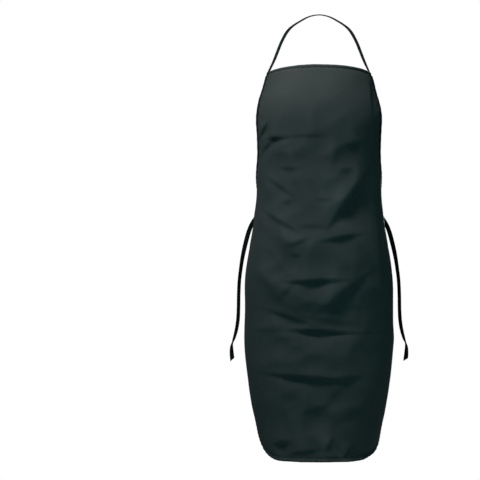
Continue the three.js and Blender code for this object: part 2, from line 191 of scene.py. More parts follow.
tape_weave, tree = new_material("woven_cotton_tape")
along_tape = add_node(tree, "ShaderNodeUVMap", {"uv_map": "pattern"})
split = add_node(tree, "ShaderNodeSeparateXYZ", links={"Vector": (along_tape, "UV")})
from_middle = add_node(tree, "ShaderNodeMath", {"operation": "ABSOLUTE"}, links={0: (split, "X")})
chevron = add_node(tree, "ShaderNodeMath", {"operation": "ADD"},
                   links={0: (split, "Y"), 1: (from_middle, "Value")})
phase = add_node(tree, "ShaderNodeMath", {"operation": "MULTIPLY"}, {1: 2 * math.pi / TAPE_RIB},
                 {0: (chevron, "Value")})
herringbone = add_node(tree, "ShaderNodeMath", {"operation": "SINE"}, links={0: (phase, "Value")})
fuzz = add_node(tree, "ShaderNodeTexNoise", values={"Scale": 1 / TAPE_FUZZ, "Detail": 3.0},
                links={"Vector": (along_tape, "UV")})
tape_colour = add_node(tree, "ShaderNodeMix", {"data_type": "RGBA"},
                       {MIX_A: linear(TAPE_DARK), MIX_B: linear(TAPE_LIGHT)}, {0: (fuzz, "Fac")})
tape_relief = add_node(tree, "ShaderNodeBump", values={"Strength": 0.3, "Distance": 0.0003},
                       links={"Height": (herringbone, "Value")})
tape_shader = add_node(tree, "ShaderNodeBsdfPrincipled",
                       values={"Roughness": 0.85, "IOR": 1.5, "Specular IOR Level": 0.12,
                               "Sheen Weight": 0.01, "Sheen Roughness": 0.5},
                       links={"Base Color": (tape_colour, MIX_RESULT),
                              "Normal": (tape_relief, "Normal")})
add_node(tree, "ShaderNodeOutputMaterial", links={"Surface": (tape_shader, "BSDF")})
print("tape nodes:", len(tree.nodes))

# %% [markdown]
# ## Polyester sewing thread
#
# Sewing thread is two or three fine yarns twisted together. It is smoother than the cloth, so each
# stitch catches a small light on its back, which is how a row of black stitches shows on black cloth.

# %% Material: polyester sewing thread
THREAD_TWIST = 0.0006
THREAD_LEAN = math.radians(40)
THREAD_DARK, THREAD_LIGHT = "#0a0f0e", "#161c1b"

thread, tree = new_material("polyester_sewing_thread")
along_thread = add_node(tree, "ShaderNodeUVMap", {"uv_map": "pattern"})
leaning = add_node(tree, "ShaderNodeMapping", values={"Rotation": (0, 0, THREAD_LEAN)},
                   links={"Vector": (along_thread, "UV")})
twist = add_node(tree, "ShaderNodeTexWave", {"wave_type": "BANDS", "bands_direction": "X"},
                 {"Scale": WAVE_PERIOD / THREAD_TWIST}, {"Vector": (leaning, "Vector")})
thread_colour = add_node(tree, "ShaderNodeMix", {"data_type": "RGBA"},
                         {MIX_A: linear(THREAD_DARK), MIX_B: linear(THREAD_LIGHT)},
                         {0: (twist, "Fac")})
thread_relief = add_node(tree, "ShaderNodeBump", values={"Strength": 0.3, "Distance": 0.0001},
                         links={"Height": (twist, "Fac")})
thread_shader = add_node(tree, "ShaderNodeBsdfPrincipled",
                         values={"Roughness": 0.45, "IOR": 1.57, "Specular IOR Level": 0.5},
                         links={"Base Color": (thread_colour, MIX_RESULT),
                                "Normal": (thread_relief, "Normal")})
add_node(tree, "ShaderNodeOutputMaterial", links={"Surface": (thread_shader, "BSDF")})
print("thread nodes:", len(tree.nodes))

# %% [markdown]
# ## The flat pattern
#
# A maker cuts the apron flat. Across is measured from the middle and down from the bib's top edge,
# in millimetres, because those are a maker's numbers. The armhole is a short table with a smooth
# curve through it, and the bottom corners are quarters of an ellipse.

# %% Flat pattern
MM = 0.001
PATTERN_LENGTH = 824.0
WAIST_DOWN = 280.0
SKIRT_HALF = 252.0
CORNER_WIDE, CORNER_TALL = 176.0, 230.0
AREA_STEPS = 2000
ARMHOLE = [  # down, half width
    (0, 121), (20, 131), (60, 143), (110, 151), (160, 153), (205, 159), (230, 172), (255, 202),
    (WAIST_DOWN, SKIRT_HALF),
]


def table_curve(rows, column):
    """A smooth curve through one column of a table, read at a place in its first column."""
    table = np.array(rows, float)
    places, values = table[:, 0], table[:, column]
    steps = np.diff(values) / np.diff(places)
    slopes = np.concatenate([steps[:1], (steps[1:] + steps[:-1]) / 2, steps[-1:]])

    def curve(place):
        place = np.clip(place, places[0], places[-1])
        index = np.clip(np.searchsorted(places, place, side="right") - 1, 0, len(places) - 2)
        span = places[index + 1] - places[index]
        part = (place - places[index]) / span
        level = values[index] + (values[index + 1] - values[index]) * part**2 * (3 - 2 * part)
        lean = slopes[index] * (1 - part) - slopes[index + 1] * part
        return level + span * part * (1 - part) * lean

    return curve


armhole_half = table_curve(ARMHOLE, 1)


def pattern_half(down):
    """Half of the flat cloth's width at a distance below the bib's top edge."""
    into_corner = np.maximum(0, (down - PATTERN_LENGTH) / CORNER_TALL + 1)
    skirt = SKIRT_HALF - CORNER_WIDE * (1 - np.sqrt(np.maximum(0, 1 - into_corner**2)))
    return np.where(down <= WAIST_DOWN, armhole_half(down), skirt)


flat_area = 2 * PATTERN_LENGTH * pattern_half(np.linspace(0, PATTERN_LENGTH, AREA_STEPS)).mean()
print(f"flat cloth: {2 * SKIRT_HALF:.0f} x {PATTERN_LENGTH:.0f} mm, {flat_area * 1e-6:.3f} m2")

# %% [markdown]
# ## The worn form
#
# Cloth that is worn wraps round the body. Each level cut through the apron is part of a rounded,
# slightly square ring, and the table gives that ring's half width and its depth before and behind the
# body's axis, from the bib's top to the hem. The cloth is not stretched: a point goes as far round
# the ring as it is across the flat pattern, and as far down the middle as it is down the pattern.

# %% Worn form
SQUARENESS = 2.3  # 2 would make each ring an ellipse
TOP_ARCH, TOP_ARCH_REACH = 14.0, 120.0  # the bib's corners hang below the middle of its top edge
FORM = [  # drop below the origin, half width, depth in front, depth behind
    (123, 112, 70, 105), (137, 115, 78, 106), (167, 122, 92, 108), (201, 134, 103, 110),
    (227, 139, 107, 112), (257, 137, 107.5, 113), (287, 134, 105.5, 114), (332, 132, 102, 116),
    (385, 131, 101, 118), (450, 137, 106, 122), (510, 147, 110, 126), (580, 155, 110, 128),
    (640, 155, 106, 128), (700, 156, 106, 124), (770, 150, 109, 116), (825, 142, 107, 110),
    (875, 131, 108, 104), (941, 117, 114, 100),
]
WALK_STEP, WALK_PAST_HEM = 0.5, 10  # the walk down the middle goes a little past the last row
SECTION_STEPS = 240
POINTS_AT_ONCE = 4000

form_half, form_front, form_back = (table_curve(FORM, column) for column in (1, 2, 3))
middle_drops = np.arange(FORM[0][0], FORM[-1][0] + WALK_PAST_HEM, WALK_STEP)
middle_walk = np.concatenate(
    [[0], np.cumsum(np.hypot(np.diff(middle_drops), np.diff(form_front(middle_drops))))])
turns = np.linspace(0, np.pi, SECTION_STEPS + 1)
powers = np.abs(np.sin(turns)) ** SQUARENESS + np.abs(np.cos(turns)) ** SQUARENESS
swell = powers ** (-1 / SQUARENESS)
ring_side, ring_ahead = np.sin(turns) * swell, np.cos(turns) * swell
side_steps, ahead_steps = np.diff(ring_side), np.diff(ring_ahead)
in_front = np.arange(SECTION_STEPS) < SECTION_STEPS / 2


def section_point(drop, across):
    """Walks round the level ring at each drop, from the middle of the front."""
    side, depth = np.empty(drop.size), np.empty(drop.size)
    for start in range(0, drop.size, POINTS_AT_ONCE):
        part = slice(start, start + POINTS_AT_ONCE)
        half, front, back = (curve(drop[part]) for curve in (form_half, form_front, form_back))
        deep = np.where(in_front, front[:, None], back[:, None])
        lengths = np.sqrt((half[:, None] * side_steps) ** 2 + (deep * ahead_steps) ** 2)
        walked = np.cumsum(lengths, axis=1)
        reach = np.abs(across[part])
        index = np.minimum((walked < reach[:, None]).sum(axis=1), SECTION_STEPS - 1)
        row = np.arange(index.size)
        share = 1 - (walked[row, index] - reach) / lengths[row, index]
        side[part] = half * (ring_side[index] + share * side_steps[index])
        depth[part] = -deep[row, index] * (ring_ahead[index] + share * ahead_steps[index])
    return side * np.sign(across), depth


def smooth_cloth(across, down):
    """Where a point of the flat cloth lies before it is folded, in millimetres."""
    fade = np.maximum(0, 1 - down / TOP_ARCH_REACH) ** 2
    drop = np.interp(down, middle_walk, middle_drops)
    drop = drop + TOP_ARCH * fade * (across / pattern_half(down)) ** 2
    side, depth = section_point(drop, across)
    return np.stack([side, depth + BODY_AXIS_Y / MM, -drop], axis=1)


bib_top = smooth_cloth(np.array([0.0]), np.array([0.0]))[0]
print("middle of the bib's top edge, mm:", bib_top.round(1))

# %% [markdown]
# ## Folds
#
# Soft folds could come from a cloth simulation, but this apron's folds are known: each has a place, a
# length and a slope. A fold is drawn as a crest with a trough beside it, and the steep face between
# them is the dark stroke that the eye sees. Small folds, soft creases, gathers at the hem, and the
# puckers that a seam draws into thin cloth are added to the same height, so all are real shape.

# %% Folds
FOLDS = [  # across, down, half length, half width, slope in degrees, rise
    (118, 70, 34, 7, 90, 2.5), (-127, 143, 17, 5, 52, 4), (-115, 174, 20, 5, 38, 2.5),
    (-91, 160, 24, 4.5, 3, 2.8), (77, 173, 15, 7, 15, 4), (56, 225, 15, 7, 10, 2),
    (-63, 223, 16, 6, -3, 2), (-84, 259, 27, 6, -34, 2.5), (65, 283, 54, 15, 53, 13),
    (-82, 332, 37, 7, -28, 3.5), (47, 365, 32, 6, 10, 4), (-39, 373, 17, 6, 20, 3),
    (140, 400, 80, 14, 90, 3), (-12, 454, 46, 6, 2, 5.5), (-66, 473, 18, 6, 50, 2),
    (49, 480, 46, 10, 37, 7), (-12, 518, 75, 36, 0, 3), (43, 506, 34, 5, -3, 2.5),
    (33, 537, 45, 8, -8, 2), (-66, 527, 38, 8, -17, 4), (0, 557, 52, 5, -3, 5),
    (-22, 652, 60, 6, -4, 7.5), (58, 654, 26, 6, 6, 4), (31, 689, 25, 11, 50, 2),
    (-6, 717, 24, 7, 20, 1.8), (19, 756, 42, 22, 15, -4), (-80, 787, 16, 9, 10, 6),
    (-128, 776, 45, 10, -60, 2.5), (152, 816, 45, 16, 30, 5),
]
SIDE_FOLDS = [  # the same columns, with across measured towards either side
    (226, 330, 46, 9, 62, 2.2), (222, 420, 56, 9, 74, 2), (230, 555, 66, 9, 82, 1.8),
]
SMALL_FOLDS = [  # the same columns
    (-25, 156, 30, 4, 0, 1), (-65, 291, 10, 5, 10, 1.6), (10, 287, 13, 4, 0, 1.2),
    (-16, 342, 30, 6, 0, 1.5), (-47, 402, 10, 4, 0, 1.2), (5, 559, 150, 2.4, -1, 0.8),
    (-31, 804, 26, 6, 8, 3.5), (19, 791, 12, 6, 60, 3.5), (60, 803, 14, 6, 50, 3.5),
    (108, 801, 22, 6, 15, 3.5),
]
GATHER_PITCH, GATHER_RISE, GATHER_REACH, GATHER_HALF = 46.0, 2.0, 30.0, 105.0
CRUMPLES = [  # spacing, slope in degrees, shift, rise
    (118, 12, 0.3, 2.6), (96, -28, 1.7, 2.2), (74, 41, 2.9, 1.5), (61, -8, 4.1, 1.1),
    (43, 64, 0.9, 0.5),
]
CREASE_WANDER, CREASE_WAVES = 0.4, 2.3  # how far a soft crease leaves its line, and how often
CREASE_FADES = (1.7, 0.8)  # how often the creases come and go, along them and beside them
CREASE_ROUND = 0.03  # 0 would make the creases sharp
BIB_CREASED, BIB_CALM_END, BIB_CALM_EASE = 0.35, 90, 110  # the bib is smoother than the skirt
SIDE_CREASED, SIDE_CALM_START, SIDE_CALM_POWER = 0.15, 125, 6  # and so are the sides
HEM_STITCH_LINE = 7.0  # in from the edge
BINDING_WIDTH, BINDING_STITCH_LINE = 8.0, 6.2
ROLL_RISE, ROLL_INSET, ROLL_WIDTH = 0.8, 2.5, 2.8  # the soft roll of the skirt's hem
LIP_RISE, LIP_INSET, LIP_WIDTH = 0.8, 4, 1.6  # the bib's top hem stands off in a lip instead
LIP_LEAN, LIP_LEAN_REACH = 0.5, 120  # the lip is higher at the wearer's left
LIP_START, LIP_EASE = 8, 16  # in from the armhole, where the lip starts and how soon it is whole
GROOVE_RISE, GROOVE_WIDTH = -1.2, 2.4
HEM_CALM = 14  # a hem's roll and puckers end this far from the waist corners
BIB_PUCKER, SKIRT_PUCKER, HEM_PUCKER_REACH = 0.12, 0.4, 13
HEM_PUCKERS = (2.6, 1.7, 19)  # spacing of the waves, how far they wander, and over which length
TAPE_PUCKER, TAPE_PUCKER_INSET, TAPE_PUCKER_WIDTH = 0.4, 9, 9
TAPE_PUCKERS = (3.1, 1.4, 23)
FOLD_EDGE = 1.3  # how sharply a fold's steep face turns into the cloth beside it
FOLD_EASE = 4.0  # in half widths, how far off the cloth lies flat again
FOLD_TIP = 0.35  # a fold's width at its ends, as a part of its width in the middle
FOLD_LIP = 0.6  # above its steepest line a fold turns over within a shorter way than below it
FORM_STEP, RISE_STEP = 1.5, 0.4  # how far apart two points are taken to find a slope


def bell(distance, width):
    """1 at the middle, and falling off smoothly to either side."""
    return np.exp(-((distance / width) ** 2))


def fold_height(fold, across, down):
    """The height of one fold over the smooth cloth."""
    at_across, at_down, length, width, slope, rise = fold
    slope = math.radians(slope)
    right, below = across - at_across, down - at_down
    along = (right * math.cos(slope) - below * math.sin(slope)) / length
    taper = np.exp(-(along**2))
    half_width = width * (FOLD_TIP + (1 - FOLD_TIP) * taper)
    beside = (right * math.sin(slope) + below * math.cos(slope)) / half_width
    reach = np.where(beside < 0, FOLD_LIP, 1.0)
    face = reach * np.tanh(FOLD_EDGE * beside / reach)
    return -rise * taper * face * bell(beside, FOLD_EASE)


def hem_distance(across, down):
    """Distance on the flat cloth to the nearest hemmed edge."""
    to_side, to_bottom = SKIRT_HALF - np.abs(across), PATTERN_LENGTH - down
    wide, tall = 1 - to_side / CORNER_WIDE, 1 - to_bottom / CORNER_TALL
    reach = np.hypot(wide, tall)
    steepness = np.maximum(np.hypot(wide / CORNER_WIDE, tall / CORNER_TALL), 1e-9)
    skirt = np.where((wide > 0) & (tall > 0), (1 - reach) * reach / steepness,
                     np.minimum(to_side, to_bottom))
    return np.where(down <= WAIST_DOWN, down, skirt)


def armhole_distance(across, down):
    """Distance on the flat cloth to the armhole edge, or a large number below the waist."""
    slope = armhole_half(down + 1) - armhole_half(down - 1)
    beside = (armhole_half(down) - np.abs(across)) / np.hypot(1, slope / 2)
    return np.where(down <= WAIST_DOWN, beside, 1e3)


def puckers(along, spacing, wander, wander_length):
    """Small uneven waves along a seam."""
    return np.sin(along / spacing + wander * np.sin(along / wander_length))


def seam_rise(across, down):
    """The roll of the hems, the groove along their stitches, and the puckers along every seam."""
    hem, armhole = hem_distance(across, down), armhole_distance(across, down)
    on_bib = down <= WAIST_DOWN
    along_hem = np.where(on_bib, across, down - np.abs(across))
    along_armhole = down + np.abs(across)
    away_from_waist = np.clip(np.abs(down - WAIST_DOWN) / HEM_CALM, 0, 1)
    lip = LIP_RISE + LIP_LEAN * across / LIP_LEAN_REACH
    lip = lip * np.clip((armhole - LIP_START) / LIP_EASE, 0, 1)
    roll = np.where(on_bib, lip * (1 - np.tanh((hem - LIP_INSET) / LIP_WIDTH)),
                    ROLL_RISE * bell(hem - ROLL_INSET, ROLL_WIDTH))
    groove = GROOVE_RISE * bell(hem - HEM_STITCH_LINE, GROOVE_WIDTH)
    hem_pucker = np.where(on_bib, BIB_PUCKER, SKIRT_PUCKER) * puckers(along_hem, *HEM_PUCKERS)
    hem_pucker = hem_pucker * np.exp(-hem / HEM_PUCKER_REACH)
    tape_pucker = TAPE_PUCKER * puckers(along_armhole, *TAPE_PUCKERS)
    tape_pucker = tape_pucker * bell(armhole - TAPE_PUCKER_INSET, TAPE_PUCKER_WIDTH)
    return (roll + groove + hem_pucker) * away_from_waist + tape_pucker


def crumple_rise(across, down):
    """Soft creases that cross each other all over, as in cloth that was packed and shaken out."""
    total = np.zeros_like(down)
    for spacing, slope, shift, rise in CRUMPLES:
        slope = math.radians(slope)
        along = (across * math.cos(slope) - down * math.sin(slope)) / spacing
        beside = (across * math.sin(slope) + down * math.cos(slope)) / spacing
        wander = CREASE_WANDER * np.sin(CREASE_WAVES * along + shift)
        ridge = np.sin(np.pi * (beside + wander + shift))
        patch = np.sin(CREASE_FADES[0] * along - CREASE_FADES[1] * beside + 2 * shift)
        depth = rise * (0.5 + 0.5 * patch)
        total = total + depth * (1 - 2 * np.sqrt(ridge**2 + CREASE_ROUND))
    below_bib = np.clip((down - BIB_CALM_END) / BIB_CALM_EASE, 0, 1)
    in_middle = np.exp(-((across / SIDE_CALM_START) ** SIDE_CALM_POWER))
    by_height = BIB_CREASED + (1 - BIB_CREASED) * below_bib
    return total * by_height * (SIDE_CREASED + (1 - SIDE_CREASED) * in_middle)


def cloth_rise(across, down):
    """The height of all folds, gathers, creases and puckers."""
    rise = sum(fold_height(fold, across, down) for fold in FOLDS + SMALL_FOLDS)
    rise = rise + sum(fold_height(fold, np.abs(across), down) for fold in SIDE_FOLDS)
    fade = np.exp(-(PATTERN_LENGTH - down) / GATHER_REACH - (across / GATHER_HALF) ** 4)
    rise = rise + GATHER_RISE * fade * np.sin(2 * np.pi * across / GATHER_PITCH)
    return rise + crumple_rise(across, down) + seam_rise(across, down)


def unit(vectors):
    """The same directions, each one long."""
    return vectors / np.linalg.norm(vectors, axis=-1, keepdims=True)


def drape(across, down):
    """Where points of the flat cloth lie in the worn apron, in millimetres, and the way out of it."""
    up, low = np.maximum(0, down - FORM_STEP), np.minimum(PATTERN_LENGTH, down + FORM_STEP)
    downwards = smooth_cloth(across, low) - smooth_cloth(across, up)
    rightwards = smooth_cloth(across + FORM_STEP, down) - smooth_cloth(across - FORM_STEP, down)
    downwards = downwards / (low - up)[:, None]
    rightwards = rightwards / (2 * FORM_STEP)
    out = unit(np.cross(downwards, rightwards))
    steeper = cloth_rise(across, down + RISE_STEP) - cloth_rise(across, down - RISE_STEP)
    sideways = cloth_rise(across + RISE_STEP, down) - cloth_rise(across - RISE_STEP, down)
    downwards = downwards + out * steeper[:, None] / (2 * RISE_STEP)
    rightwards = rightwards + out * sideways[:, None] / (2 * RISE_STEP)
    place = smooth_cloth(across, down) + out * cloth_rise(across, down)[:, None]
    return place, unit(np.cross(downwards, rightwards))


print("folds:", len(FOLDS) + len(SMALL_FOLDS) + 2 * len(SIDE_FOLDS))

# %% [markdown]
# ## From points to a piece
#
# Every piece here is a mesh made from points and faces. One function makes the object: it lays the
# cloth or tape coordinates on the mesh as a UV map in metres, turns the faces outwards, shades them
# smooth and keeps real corners sharp. A second one joins a row of rings into a closed strip.

# %% Helpers for meshes
SHARP_CORNER = math.radians(50)


def make_piece(name, points, faces, pattern_mm, material):
    """A mesh object from points and pattern coordinates in millimetres."""
    mesh = bpy.data.meshes.new(name)
    mesh.from_pydata((np.asarray(points) * MM).tolist(), [], faces)
    solid = bmesh.new()
    solid.from_mesh(mesh)
    bmesh.ops.recalc_face_normals(solid, faces=solid.faces)
    solid.to_mesh(mesh)
    solid.free()
    corners = np.empty(len(mesh.loops), int)
    mesh.loops.foreach_get("vertex_index", corners)
    layer = mesh.uv_layers.new(name="pattern")
    layer.data.foreach_set("uv", (np.asarray(pattern_mm)[corners] * MM).astype(np.float32).ravel())
    mesh.shade_smooth()
    mesh.set_sharp_from_angle(angle=SHARP_CORNER)
    mesh.materials.append(material)
    piece = bpy.data.objects.new(name, mesh)
    scene.collection.objects.link(piece)
    print(f"{name}: {len(mesh.vertices)} points, {len(mesh.polygons)} faces")
    return piece


def strip_faces(stations, size):
    """The faces of a closed strip of rings, with both ends closed."""
    faces = []
    for station in range(stations - 1):
        for side in range(size):
            here, beside = station * size + side, station * size + (side + 1) % size
            faces.append((here, beside, beside + size, here + size))
    last = (stations - 1) * size
    return faces + [tuple(range(size)), tuple(range(last + size - 1, last - 1, -1))]


# %% [markdown]
# ## Waist ties
#
# Each tie is one length of flat tape, sewn behind the waist corner and left to hang. Limp tape falls
# straight, but it is woven flat and sewn on at a slant, so it turns on the way down. The route is a
# table of points with the way the tape faces, and a smooth curve runs through it. The section is a
# thin bar with a slightly thicker edge on either side, as tape has, and the end is cut at a slant.

# %% Waist ties
TAPE_HALF = 5.0
TAPE_SECTION = [  # across the tape, and out of its face
    (-5, 0), (-4.85, 0.42), (-4.3, 0.6), (-3.7, 0.47), (-1.8, 0.43), (0, 0.45), (1.8, 0.43),
    (3.7, 0.47), (4.3, 0.6), (4.85, 0.42), (5, 0), (4.85, -0.42), (4.3, -0.6), (3.7, -0.47),
    (1.8, -0.43), (0, -0.45), (-1.8, -0.43), (-3.7, -0.47), (-4.3, -0.6), (-4.85, -0.42),
]
STATION_STEP = 2.5
TIE_LAP = [(-14, 9), (-4, 17), (6, 26)]  # past the cloth's side edge, below the armhole's end
TIE_BEHIND_CLOTH = 2.85
TIE_SLANT = -3.5
SLANT_REACH = 12  # how far from its end a tape leans for its slanted cut
WAIST_TIE = [  # out to the side, behind the axis, drop, way it faces in degrees from the front
    (118, 80, 418, 118), (128, 80, 428, 130), (137, 78, 440, 142), (145, 75, 454, 154),
    (151, 72, 470, 161), (155.5, 69, 487, 163), (160, 66, 506, 153), (164, 63, 527, 142),
    (167, 61, 548, 136), (169.5, 60, 569, 134), (171, 58, 600, 134), (171.5, 57, 632, 135),
    (172.5, 56, 653, 136), (175.5, 55, 674, 133), (181, 53, 695, 116), (184, 52, 703, 101),
    (185.8, 50, 713, 126), (185.5, 48, 726, 150), (184, 46, 739, 160),
]


def tape_stations(places, facings):
    """Stations along a smooth curve: centre, way ahead, way across and way out, with the walk."""
    lengths = np.linalg.norm(np.diff(places, axis=0), axis=1)
    walk = np.concatenate([[0], np.cumsum(lengths)])
    table = np.column_stack([walk, places, facings])
    curves = [table_curve(table, column) for column in range(1, 7)]
    at = np.linspace(0, walk[-1], round(walk[-1] / STATION_STEP) + 1)
    centre = np.stack([curve(at) for curve in curves[:3]], axis=1)
    facing = np.stack([curve(at) for curve in curves[3:]], axis=1)
    ahead = unit(np.gradient(centre, axis=0))
    across = unit(np.cross(ahead, facing))
    along = np.concatenate([[0], np.cumsum(np.linalg.norm(np.diff(centre, axis=0), axis=1))])
    return centre, ahead, across, np.cross(across, ahead), along


def make_tape(name, stations, slant=0.0):
    """A flat tape along its stations; slant cuts its last end askew."""
    centre, ahead, across, out, along = stations
    wide, thick = np.array(TAPE_SECTION).T
    to_end = np.clip(1 - (along[-1] - along) / SLANT_REACH, 0, 1)
    shear = slant * to_end[:, None] * wide / TAPE_HALF
    rings = (centre[:, None] + across[:, None] * wide[:, None] + out[:, None] * thick[:, None]
             + ahead[:, None] * shear[:, :, None])
    pattern_mm = np.stack(np.broadcast_arrays(wide, along[:, None] + shear), axis=2)
    return make_piece(name, rings.reshape(-1, 3), strip_faces(len(centre), len(wide)),
                      pattern_mm.reshape(-1, 2), tape_weave)


def tie_stations(side):
    """The stations of one waist tie: side is 1 for the wearer's left and -1 for the right."""
    lap = np.array(TIE_LAP, float)
    across, down = side * (SKIRT_HALF + lap[:, 0]), WAIST_DOWN + lap[:, 1]
    lap_place, lap_facing = drape(across, down)
    lap_place = lap_place - lap_facing * TIE_BEHIND_CLOTH
    out, behind, drop, face = np.array(WAIST_TIE).T
    face = np.radians(face)
    places = np.stack([side * out, behind + BODY_AXIS_Y / MM, -drop], axis=1)
    facings = np.stack([side * np.sin(face), -np.cos(face), 0 * face], axis=1)
    return tape_stations(np.vstack([lap_place, places]), np.vstack([lap_facing, facings]))


ties = {}
for tie_name, side in (("waist_tie_left_tape", 1), ("waist_tie_right_tape", -1)):
    stations = tie_stations(side)
    ties[side] = make_tape(tie_name, stations, TIE_SLANT), stations
    print(f"{tie_name}: {stations[4][-1]:.0f} mm long")

# %% [markdown]
# ## Neck strap
#
# The neck strap is the armhole tape running on over the shoulders, so its ends meet the bib's two
# corners, facing as the cloth does there, and it turns to lie flat round the nape. One half is given
# by the table, and the other half mirrors it.

# %% Neck strap
NECK_STRAP = [  # out to the side, behind the axis, drop, and the way it faces: side, ahead, up
    (94, -10, 109, 0.65, 0.43, 0.62), (87.5, 12, 89, 0.6, 0.44, 0.66),
    (78, 32, 63, 0.53, 0.46, 0.71), (63, 62, 35, 0.35, 0.43, 0.83),
    (40, 90, 15, 0.29, 0.34, 0.89), (19, 105, 3, 0.2, 0.29, 0.93), (0, 109, -0.6, 0, 0.27, 0.96),
]
STRAP_ABOVE_BINDING = 0.4
STRAP_AIM = 10.0  # the strap runs on from this much of the armhole edge


def strap_foot(side):
    """Where the strap leaves a bib corner, and the way it faces there."""
    down = np.array([0, 0, STRAP_AIM])
    across = armhole_half(down) - np.array([0, BINDING_WIDTH, 0])
    (edge, inner, below), facings = drape(side * across, down)
    return (edge + inner) / 2 + unit(edge - below) * STRAP_ABOVE_BINDING, facings[0]


half_strap = np.array(NECK_STRAP)
strap_places, strap_facings = [], []
for side in (1, -1):
    foot, foot_facing = strap_foot(side)
    out, behind, drop, aside, ahead, up = half_strap.T
    places = np.stack([side * out, behind + BODY_AXIS_Y / MM, -drop], axis=1)
    facings = np.stack([side * aside, -ahead, up], axis=1)
    strap_places.append(np.vstack([foot, places]))
    strap_facings.append(np.vstack([foot_facing, facings]))
strap_stations = tape_stations(np.vstack([strap_places[0], strap_places[1][-2::-1]]),
                               np.vstack([strap_facings[0], strap_facings[1][-2::-1]]))
neck_strap = make_tape("neck_strap_tape", strap_stations)
print(f"neck strap: {strap_stations[4][-1]:.0f} mm from corner to corner")

# %% [markdown]
# ## The panel
#
# Bib and skirt are one sheet, so they are one mesh: a fine grid over the flat pattern, with each
# point carried to its worn place by the function above. Rows crowd together at the hems, where the
# shape changes fastest. The sheet has two faces and a rim. A value at each point says how worn the
# bib's top edge is there and how much painted highlight the crests of folds get, and the twill reads
# it.

# %% Panel
CLOTH_WALL = 0.8
SIDE_COLUMNS = 84
COLUMN_CROWDING = 0.75
HEM_ROWS = [0, 1, 2.2, 3.4, 4.6, 5.8, 6.6, 7.4, 8.4, 10, 12, 14.5, 17.5]
ROW_STEP = 3.6
ROUND_ROWS, ROUND_STEP = 17, 0.35  # rows at the round hem, spaced so that its outline steps evenly
RUBBED_RIM, RUBBED_REACH = 0.8, 1.6  # at the bib's top edge, and how far in from it
CREST_HIGHLIGHT_FULL, CREST_HIGHLIGHT_MOST = 14, 0.5  # the height at which a crest gets the full painted highlight, and the most that is used

steps = np.arange(-SIDE_COLUMNS, SIDE_COLUMNS + 1) / SIDE_COLUMNS
shares = np.sin(steps * COLUMN_CROWDING * np.pi / 2) / math.sin(COLUMN_CROWDING * np.pi / 2)
round_rows = PATTERN_LENGTH - (np.arange(ROUND_ROWS, -1, -1) * ROUND_STEP) ** 2
plain_steps = round((round_rows[0] - HEM_ROWS[-1]) / ROW_STEP)
plain_rows = np.linspace(HEM_ROWS[-1], round_rows[0], plain_steps + 1)
panel_rows = np.concatenate([HEM_ROWS, plain_rows[1:-1], round_rows])

grid_down = np.repeat(panel_rows, shares.size)
grid_across = (pattern_half(panel_rows)[:, None] * shares).ravel()
middle, normals = drape(grid_across, grid_down)
outside, inside = (middle + normals * side * CLOTH_WALL / 2 for side in (1, -1))

index = np.arange(grid_down.size).reshape(panel_rows.size, shares.size)
quads = np.stack([index[:-1, :-1], index[:-1, 1:], index[1:, 1:], index[1:, :-1]], axis=2)
quads = quads.reshape(-1, 4)
edge_loop = np.concatenate([index[0, :-1], index[:-1, -1], index[-1, :0:-1], index[:0:-1, 0]])
next_loop = np.roll(edge_loop, -1)
size = grid_down.size
rim = np.stack([edge_loop, next_loop, next_loop + size, edge_loop + size], axis=1)
panel_faces = np.concatenate([quads, quads[:, ::-1] + size, rim]).tolist()
grid_pattern = np.stack([grid_across, grid_down], axis=1)
panel = make_piece("apron_panel_cloth", np.vstack([outside, inside]), panel_faces,
                   np.vstack([grid_pattern, grid_pattern]), twill)


def wear_and_crest_highlight_at(across, down):
    """How worn the bib's top hem is, plus a painted highlight on the crests of folds."""
    rim = np.where(down <= WAIST_DOWN, RUBBED_RIM, 0.0)
    rim = rim * np.exp(-hem_distance(across, down) / RUBBED_REACH)
    # Painted highlight: the higher a fold's crest, the lighter it is painted.
    crest_highlight = np.clip(cloth_rise(across, down) / CREST_HIGHLIGHT_FULL, 0, CREST_HIGHLIGHT_MOST)
    return np.clip(rim + crest_highlight, 0, 1)


def paint_wear_and_crest_highlight(piece, pattern_mm):
    """Lays the wear and the painted crest highlight on each point of a cloth piece."""
    values = wear_and_crest_highlight_at(pattern_mm[:, 0], pattern_mm[:, 1]).astype(np.float32)
    piece.data.attributes.new("wear_and_crest_highlight", "FLOAT", "POINT").data.foreach_set("value", values)


paint_wear_and_crest_highlight(panel, np.vstack([grid_pattern, grid_pattern]))

# %% [markdown]
# ## Hems
#
# A hem is the cloth's own edge, turned in twice and sewn down. From outside it is a soft roll, and
# from inside a narrow band with a folded edge. It could be part of the panel's grid, but a strip that
# follows the edge keeps the fold round and even at the curved corners.

# %% Hems
HEM_SECTION = [  # in from the edge, out of the cloth
    (1.8, 0.3), (0.9, 0.47), (0.2, 0.42), (-0.35, 0.1), (-0.5, -0.5), (-0.35, -1.1), (0.2, -1.5),
    (1, -1.62), (3.6, -1.66), (6.2, -1.62), (8.6, -1.6), (9, -1.35), (9.1, -0.8), (8.9, -0.3),
    (5, -0.15), (1.8, -0.1),
]
EDGE_STEP = 2.6
EDGE_LOOK = 2  # how far in a point is taken to find the way out of an edge
INNER_POINT = np.array([0, 400.0])  # a place inside the cloth, which tells inwards from outwards
HEM_BESIDE_BINDING = 0.6
HEM_BELOW_WAIST = 6
CORNER_STEPS = 120


def even_path(points, step):
    """The points of a path, spaced evenly along it."""
    points = np.asarray(points, float)
    walk = np.concatenate([[0], np.cumsum(np.linalg.norm(np.diff(points, axis=0), axis=1))])
    at = np.linspace(0, walk[-1], round(walk[-1] / step) + 1)
    return np.stack([np.interp(at, walk, points[:, column]) for column in (0, 1)], axis=1)


